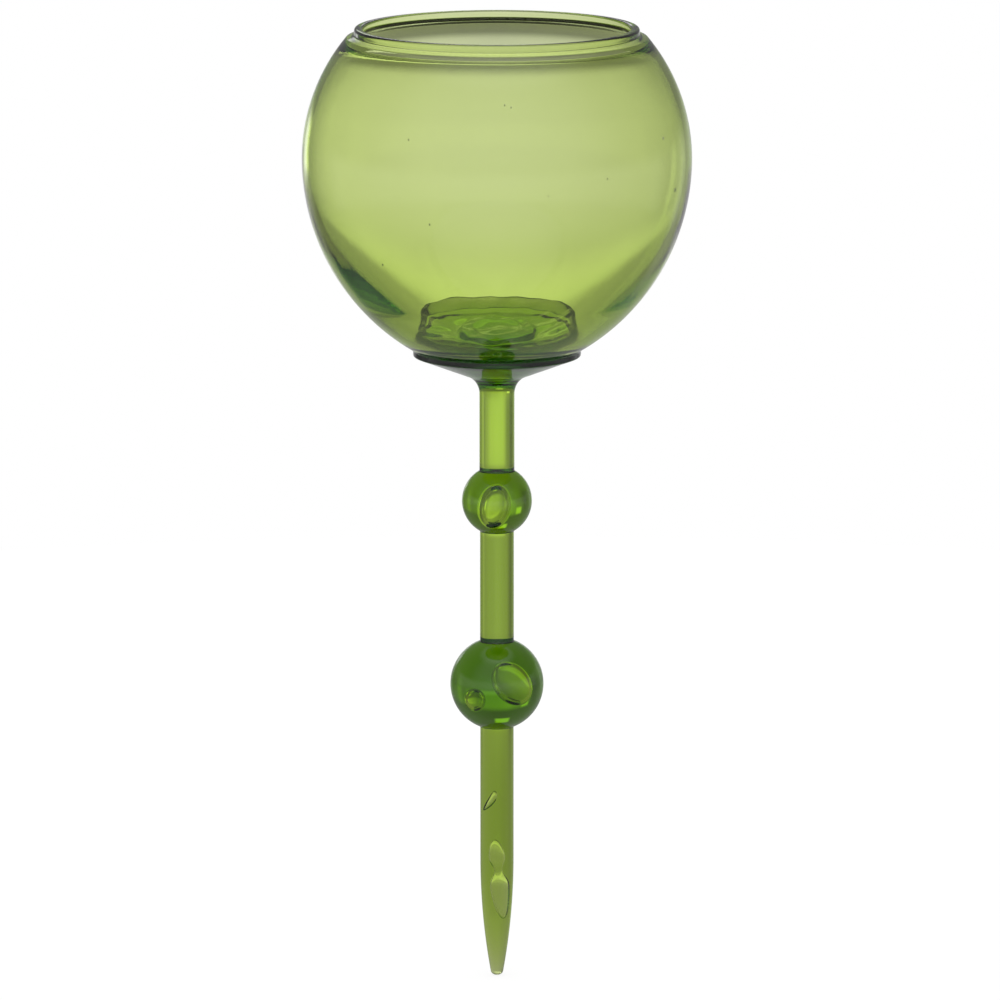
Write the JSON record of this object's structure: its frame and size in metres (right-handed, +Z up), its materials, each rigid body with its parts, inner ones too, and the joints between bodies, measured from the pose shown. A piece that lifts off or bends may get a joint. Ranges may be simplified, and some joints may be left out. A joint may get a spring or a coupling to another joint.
{
  "type": "watering globe",
  "caption": "Open-topped green glass globe with a rolled rim on a glass stem with balls, tapering to a spike that is pushed into potting soil to hold water at the plant.",
  "frame": {"origin": "on the axis of the glass at the soil line, where the spike leaves the large ball", "axes": "+Z up along the axis of the glass towards the open mouth, -Y towards the picture's viewer"},
  "size_m": [0.1016, 0.1016, 0.2533],
  "materials": {
    "green_glass": "clear fire-polished hand-blown glass, yellow-green where thin and deep green where thick"
  },
  "bodies": {
    "root": {"bowl": "green_glass", "rolled_rim": "green_glass", "base_pad": "green_glass", "upper_stem": "green_glass", "small_ball": "green_glass", "middle_stem": "green_glass", "large_ball": "green_glass", "spike": "green_glass"}
  },
  "joints": []
}
